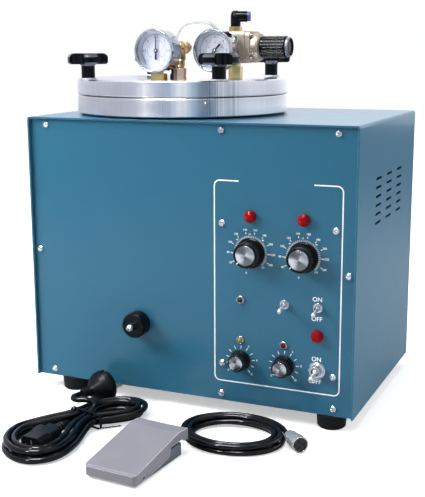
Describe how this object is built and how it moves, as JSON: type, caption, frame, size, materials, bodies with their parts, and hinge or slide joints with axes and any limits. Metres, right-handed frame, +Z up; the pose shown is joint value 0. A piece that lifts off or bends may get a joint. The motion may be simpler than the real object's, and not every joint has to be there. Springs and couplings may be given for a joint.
{
  "type": "vacuum wax injector",
  "caption": "Bench vacuum wax injector: heated pot with bolted lid, gauges and regulator in a blue cabinet with control panel, front nozzle, foot pedal and mains lead.",
  "frame": {"origin": "middle of the whole footprint, on the bench", "axes": "+X to the right seen from the front, +Y from the front to the rear, +Z up"},
  "size_m": [0.38, 0.4622, 0.4296],
  "materials": {
    "blue_paint": "satin powder coat",
    "zinc_steel": "zinc plated",
    "black_rubber": "matte",
    "red_rubber": "matte silicone",
    "turned_aluminium": "turned, satin",
    "black_phenolic": "glossy",
    "polished_steel": "polished",
    "white_dial": "satin",
    "clear_glass": "clear",
    "brass": "satin",
    "black_paint": "satin",
    "champagne_aluminium": "anodised, satin",
    "black_plastic": "semi-gloss",
    "copper_brass": "satin",
    "clear_hose": "clear",
    "red_lens": "clear red",
    "board_green": "matte",
    "grey_paint": "satin hammered",
    "cord_black": "semi-gloss"
  },
  "bodies": {
    "root": {"cabinet_cover": "blue_paint", "front_panel": "blue_paint", "rear_panel": "blue_paint", "base_plate": "zinc_steel", "rubber_feet": "black_rubber", "panel_screws": "zinc_steel", "wax_pot": "turned_aluminium", "flange_gasket": "black_rubber", "lid_gasket": "red_rubber", "heater_band": "zinc_steel", "switch_bodies": "zinc_steel", "switch_nuts": "polished_steel", "neon_lamps": "red_lens", "indicator_leds": "black_plastic", "control_board": "board_green", "valve_block": "brass", "nozzle_collar": "black_phenolic", "nozzle_tip": "polished_steel", "power_inlet": "black_plastic", "pedal_socket": "polished_steel", "vacuum_port": "brass", "pedal_base": "grey_paint", "pedal_pin": "zinc_steel", "pedal_switch": "black_plastic", "pedal_cord_lead": "cord_black", "pedal_cord_coil": "cord_black", "pedal_plug": "polished_steel", "mains_cord_hank": "cord_black", "mains_connector": "cord_black", "mains_plug": "cord_black", "cord_tie": "cord_black"},
    "lid": {"pot_lid": "turned_aluminium", "lid_washers": "zinc_steel", "gauge_cases": "polished_steel", "gauge_dials": "white_dial", "gauge_glasses": "clear_glass", "gauge_movements": "brass", "gauge_sockets": "brass", "regulator_body": "champagne_aluminium", "regulator_bonnet": "champagne_aluminium", "regulator_fittings": "brass", "inlet_elbow": "black_plastic", "vacuum_elbow": "copper_brass", "hose_fittings": "black_plastic", "clear_hose": "clear_hose"},
    "star_front_right": {"star_knob_front_right": "black_phenolic"},
    "star_rear_right": {"star_knob_rear_right": "black_phenolic"},
    "star_rear_left": {"star_knob_rear_left": "black_phenolic"},
    "star_front_left": {"star_knob_front_left": "black_phenolic"},
    "left_pointer": {"left_needle": "black_paint"},
    "right_pointer": {"right_needle": "black_paint"},
    "pressure_knob": {"regulator_knob": "black_plastic"},
    "pot_temp": {"pot_temp_knob": "black_plastic"},
    "valve_temp": {"valve_temp_knob": "black_plastic"},
    "vacuum_time": {"vacuum_time_knob": "black_plastic"},
    "injection_time": {"injection_time_knob": "black_plastic"},
    "auto_toggle": {"auto_lever": "polished_steel"},
    "vacuum_toggle": {"vacuum_lever": "polished_steel"},
    "power_toggle": {"power_lever": "polished_steel"},
    "treadle": {"pedal_treadle": "grey_paint"}
  },
  "joints": [
    {"name": "lid_lift", "type": "slide", "parent": "root", "child": "lid", "axis": [0, 0, 1], "range_m": [0, 0.12]},
    {"name": "star_front_right_turn", "type": "hinge", "parent": "lid", "child": "star_front_right", "pos_m": [0.02376, 0.01137, 0.365], "axis": [0, 0, 1], "continuous": true},
    {"name": "star_rear_right_turn", "type": "hinge", "parent": "lid", "child": "star_rear_right", "pos_m": [0.02376, 0.17089, 0.365], "axis": [0, 0, 1], "continuous": true},
    {"name": "star_rear_left_turn", "type": "hinge", "parent": "lid", "child": "star_rear_left", "pos_m": [-0.13576, 0.17089, 0.365], "axis": [0, 0, 1], "continuous": true},
    {"name": "star_front_left_turn", "type": "hinge", "parent": "lid", "child": "star_front_left", "pos_m": [-0.13576, 0.01137, 0.365], "axis": [0, 0, 1], "continuous": true},
    {"name": "left_needle_swing", "type": "hinge", "parent": "lid", "child": "left_pointer", "pos_m": [-0.0445, -0.00287, 0.386], "axis": [0, 1, 0], "range_deg": [-135, 135], "stiffness_Nm_per_rad": 0.001},
    {"name": "right_needle_swing", "type": "hinge", "parent": "lid", "child": "right_pointer", "pos_m": [0.0055, 0.03913, 0.386], "axis": [0, 1, 0], "range_deg": [0, 270], "stiffness_Nm_per_rad": 0.001},
    {"name": "pressure_knob_turn", "type": "hinge", "parent": "lid", "child": "pressure_knob", "pos_m": [0.055, 0.08513, 0.3895], "axis": [1, 0, 0], "continuous": true},
    {"name": "pot_temp_turn", "type": "hinge", "parent": "root", "child": "pot_temp", "pos_m": [0.076, -0.03287, 0.1805], "axis": [0, 1, 0], "range_deg": [0, 270]},
    {"name": "valve_temp_turn", "type": "hinge", "parent": "root", "child": "valve_temp", "pos_m": [0.1335, -0.03287, 0.1805], "axis": [0, 1, 0], "range_deg": [0, 270]},
    {"name": "vacuum_time_turn", "type": "hinge", "parent": "root", "child": "vacuum_time", "pos_m": [0.065, -0.03287, 0.063], "axis": [0, 1, 0], "range_deg": [0, 270]},
    {"name": "injection_time_turn", "type": "hinge", "parent": "root", "child": "injection_time", "pos_m": [0.114, -0.03287, 0.063], "axis": [0, 1, 0], "range_deg": [0, 270]},
    {"name": "auto_throw", "type": "hinge", "parent": "root", "child": "auto_toggle", "pos_m": [0.114, -0.03237, 0.1295], "axis": [1, 0, 0], "range_deg": [-32, 0]},
    {"name": "vacuum_throw", "type": "hinge", "parent": "root", "child": "vacuum_toggle", "pos_m": [0.15, -0.03237, 0.1295], "axis": [1, 0, 0], "range_deg": [-32, 0]},
    {"name": "power_throw", "type": "hinge", "parent": "root", "child": "power_toggle", "pos_m": [0.15, -0.03437, 0.063], "axis": [1, 0, 0], "range_deg": [-32, 0]},
    {"name": "treadle_press", "type": "hinge", "parent": "root", "child": "treadle", "pos_m": [0.04652, -0.21752, 0.0056], "axis": [0.9962, -0.0872, 0], "range_deg": [-4.5, 0], "stiffness_Nm_per_rad": 2, "springref_deg": 11.46}
  ]
}
